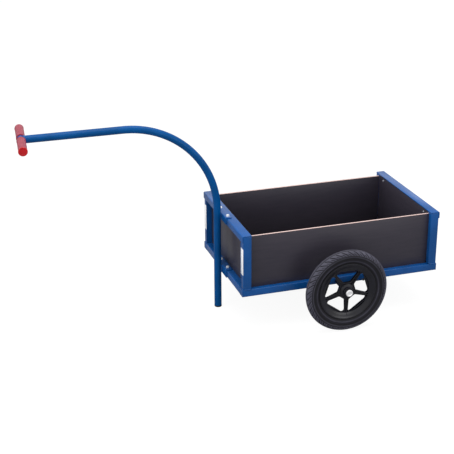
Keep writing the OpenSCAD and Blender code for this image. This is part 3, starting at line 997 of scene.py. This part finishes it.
def plate(outlines, half_thick, edge):
    """A flat plate with holes: the first outline is its rim and the others are the holes."""
    curve = bpy.data.curves.new("plate", "CURVE")
    curve.dimensions = "2D"
    curve.fill_mode = "BOTH"
    curve.extrude = half_thick - edge
    curve.bevel_depth = edge
    curve.bevel_resolution = 2
    curve.offset = -edge
    for outline in outlines:
        spline = curve.splines.new("POLY")
        spline.points.add(len(outline) - 1)
        for point, (x, y) in zip(spline.points, outline):
            point.co = (x, y, 0, 1)
        spline.use_cyclic_u = True
    holder = bpy.data.objects.new("plate", curve)
    bpy.context.scene.collection.objects.link(holder)
    bpy.context.view_layer.update()
    data = bpy.data.meshes.new_from_object(holder.evaluated_get(bpy.context.evaluated_depsgraph_get()))
    mesh = bmesh.new()
    mesh.from_mesh(data)
    bpy.data.objects.remove(holder)
    bpy.data.curves.remove(curve)
    bpy.data.meshes.remove(data)
    return tidied(mesh)


def spoke_windows(sign, **sizes):
    """The openings between the spokes, one spoke pointing straight down."""
    shape = window(**sizes)
    found = []
    for i in range(SPOKES):
        turn = Matrix.Rotation(-sign * math.radians(-90 + (i + 0.5) * 360 / SPOKES), 2)
        found.append([turn @ point for point in shape])
    return found


def rim_barrel():
    """The dished ring between the spokes and the tyre's beads."""
    lip = 19.5
    edge = 1.4
    half = [(109, 9.6), (122, 13.6), (123.5, 15.2), (133, 18.4), (134.5, 19.2)]
    half += arc((LIP_R - edge, lip - edge), edge, 90, 0, 4)
    half += [(LIP_R, 16.8), (LIP_R - 1, 16), (BEAD_R, BEAD_HALF + 0.1)]
    return turned(half + [(r, -z) for r, z in reversed(half)], 144, closed=True)


def spoke_ribs(sign):
    """A thin rib down the middle of each spoke's two faces, running out on the barrel."""
    ribs = []
    half_thick = 1.6
    profile = [(30, 5), (30, 9), (96, 9), (110, 10.5), (126, 15.5), (122, 12), (110, 7), (100, 3)]
    for i in range(SPOKES):
        turn = Matrix.Rotation(-sign * math.radians(-90 + i * 360 / SPOKES), 4, "Z")
        for face in (-1, 1):
            outline = [(r, -half_thick, z * face) for r, z in profile]
            rib = extruded(outline, (0, 2 * half_thick, 0))
            ribs.append(moved(bevelled(rib, rib.edges[:], 0.6, 2), turn))
    return ribs


def rim(side, sign):
    """The moulded rim: barrel, ribbed spokes with raised edges, and hub."""
    disc = arc((0, 0), 112, 0, 360 - 360 / 96, 95)
    windows = spoke_windows(sign, chord=99, inner=41, spoke_out=6.2, spoke_in=10, radius=11)
    borders = spoke_windows(sign, chord=102, inner=37.5, spoke_out=3.6, spoke_in=7, radius=13)
    web = plate([disc] + windows, 4.2, 1.0)
    edges = [plate([border, opening], 8, 1.1) for border, opening in zip(borders, windows)]
    nose = [(14.2, 26), (21.5, 26), (23, 24.5), (23.6, 14), (34, 7.5), (34, 0)]
    hub = turned(nose + [(r, -z) for r, z in reversed(nose[:-1])], 96, closed=True)
    mesh = joined(rim_barrel(), web, hub, *edges, *spoke_ribs(sign))
    moved(mesh, axle_place(sign, WHEEL_Y))
    wheel = f"{side}_wheel"
    piece(f"{side}_spoked_rim", mesh, wheel, [RIM_PLASTIC], [f"{side}_rim"], sharp=38)


def axle_cap(side, sign):
    """A bright domed cap, hollow in its crown, held in a black brim."""
    low, high = span(f"{side}_axle_cap")
    seat = min(abs(low.y), abs(high.y))
    height = abs(high.y - low.y)
    shoulder = 3.5
    brim_top = 2.7
    skirt = [(0, 0), (19.5, 0), (20, 0.5), (20, 1.8), (19.4, 2.4), (17.2, 2.4), (16.5, 2.8)]
    crown = arc((13, height - shoulder), shoulder, 0, 90, 6)
    crown += arc((10.6, height - 0.9), 0.9, 60, 180, 4)
    hollow = [(8.6, height - 2.2), (5, height - 2.6), (0, height - 2.8)]
    mesh = turned(skirt + crown + hollow, 64)
    for face in mesh.faces:
        face.material_index = 1 if face.calc_center_median().z < brim_top else 0
    moved(mesh, axle_place(sign, seat))
    materials = [CHROME_PAINTED_REFLECTION, RIM_PLASTIC]
    piece(f"{side}_axle_cap_dome", mesh, "cart", materials, [f"{side}_axle_cap"], sharp=50)


VALVE_TURN = 27
VALVE_IN_R = 88


def wheel_insides(side, sign):
    """The valve's stem with its cap; the tube and the bushes keep their plain turned shapes."""
    stem = [(0, 0), (3.2, 0), (4.8, 1), (4.8, 9), (3.2, 9.5), (3.2, 14), (4, 16), (4, 70), (0, 70)]
    turn = Matrix.Rotation(-sign * math.radians(VALVE_TURN), 4, "Z")
    lie = turn @ Matrix.Rotation(math.pi / 2, 4, "Y")
    mesh = turned(stem, 20)
    moved(mesh, axle_place(sign, WHEEL_Y) @ lie @ Matrix.Translation((0, 0, VALVE_IN_R)))
    piece(f"{side}_valve_stem", mesh, f"{side}_wheel", [TUBE_RUBBER], [f"{side}_valve"])
    keep_node(f"{side}_inner_tube", TUBE_RUBBER)
    for place in ("outer", "inner"):
        keep_node(f"{side}_{place}_bush", NYLON)


def axle_parts():
    """The axle, its washers, sleeves and spacers keep their plain turned shapes."""
    keep_node("axle", ZINC)
    keep_node("end_washers", RIM_PLASTIC)
    for side in SIDES:
        keep_node(f"{side}_axle_sleeve", BLUE)
        # Painted shade: the spacers get the black rim plastic, dark as the shade they sit in.
        keep_node(f"{side}_axle_spacer", RIM_PLASTIC)


# ---------- setting ----------


def white_stage():
    """A floor that the camera sees white and that throws only a dim grey back at the cart."""
    reach = 30
    floor = bmesh.new()
    bmesh.ops.create_grid(floor, x_segments=1, y_segments=1, size=reach)
    data = bpy.data.meshes.new("floor")
    floor.to_mesh(data)
    floor.free()
    shade = Finish("floor_white", (0.13, 0.13, 0.13, 1), 0.9, Specular_IOR_Level=0.0)
    shade.feed("Base Color", shade.mix(shade.noise(2), (0.12, 0.12, 0.12, 1), (0.14, 0.14, 0.14, 1)))
    shade.feed("Emission Color", (1, 1, 1, 1))
    shade.feed("Emission Strength", 0.92)
    seen = shade.node("ShaderNodeLightPath", output="Is Camera Ray")
    dull = shade.node("ShaderNodeBsdfDiffuse", sockets={"Color": (0.3, 0.3, 0.31, 1)})
    lit = Value(shade, shade.shader.outputs[0])
    both = shade.node("ShaderNodeMixShader", sockets={0: seen, 1: dull, 2: lit})
    shade.feed("Surface", both, shade.tree.nodes["Material Output"])
    data.materials.append(shade.material)
    made = bpy.data.objects.new("floor", data)
    bpy.context.scene.collection.objects.link(made)


def area_light(name, place, aim, size, power):
    """A rectangular soft light at a place, turned towards its aim."""
    data = bpy.data.lights.new(name, "AREA")
    data.shape = "RECTANGLE"
    data.size, data.size_y = size
    data.energy = power
    made = bpy.data.objects.new(name, data)
    made.location = place
    made.rotation_euler = (Vector(aim) - Vector(place)).to_track_quat("-Z", "Y").to_euler()
    bpy.context.scene.collection.objects.link(made)


def backdrop():
    """An even white sky, a little dimmer as light than as it is seen."""
    world = bpy.data.worlds.new("studio")
    world.use_nodes = True
    tree = world.node_tree
    sky = tree.nodes["Background"]
    sky.inputs["Color"].default_value = (1, 1, 1, 1)
    seen = tree.nodes.new("ShaderNodeLightPath")
    strength = tree.nodes.new("ShaderNodeMapRange")
    strength.inputs["To Min"].default_value = 0.85
    strength.inputs["To Max"].default_value = 1.0
    tree.links.new(seen.outputs["Is Camera Ray"], strength.inputs["Value"])
    tree.links.new(strength.outputs[0], sky.inputs["Strength"])
    bpy.context.scene.world = world


def studio():
    """Soft light from above, with weaker lights at the front, the near side and the back."""
    aim = (0, 0, 0.4)
    area_light("overhead", (0.2, -0.3, 4.2), aim, (4, 3), 100)
    area_light("front_left", (-4.0, -1.4, 1.6), aim, (2.5, 2.0), 46)
    area_light("near_right", (2.6, -4.2, 1.3), aim, (2.0, 1.5), 24)
    area_light("back_right", (2.6, 2.8, 2.1), (-0.3, 0, 0.8), (0.5, 0.5), 2)
    bpy.context.scene.view_settings.view_transform = "Standard"


def camera():
    """A long lens from the front left, a little above the box."""
    place = (-1.46041, -4.68069, 2.40952)
    heading = math.radians(-17.400)
    tilt = math.radians(67.813)
    roll = math.radians(-0.370)
    data = bpy.data.cameras.new("camera")
    data.lens = 88.21
    made = bpy.data.objects.new("camera", data)
    turn = Matrix.Rotation(heading, 4, "Z") @ Matrix.Rotation(tilt, 4, "X")
    made.matrix_world = Matrix.Translation(place) @ turn @ Matrix.Rotation(roll, 4, "Z")
    bpy.context.scene.collection.objects.link(made)
    bpy.context.scene.camera = made


frame_tubes()
rail_caps()
angle_rail("front_top_rail", -1)
angle_rail("rear_top_rail", 1)
lugs()
frame_welds()
reflectors()
panels()
panel_fixings()
floor_bolts()
drawbar()
bracket_fixings(bracket("upper_bracket"), bracket("lower_bracket"))
foot()
cross_handle()
axle_parts()
tyres()
for side, sign in SIDES.items():
    grip(side, sign)
    rim(side, sign)
    axle_cap(side, sign)
    wheel_insides(side, sign)
white_stage()
backdrop()
studio()
camera()
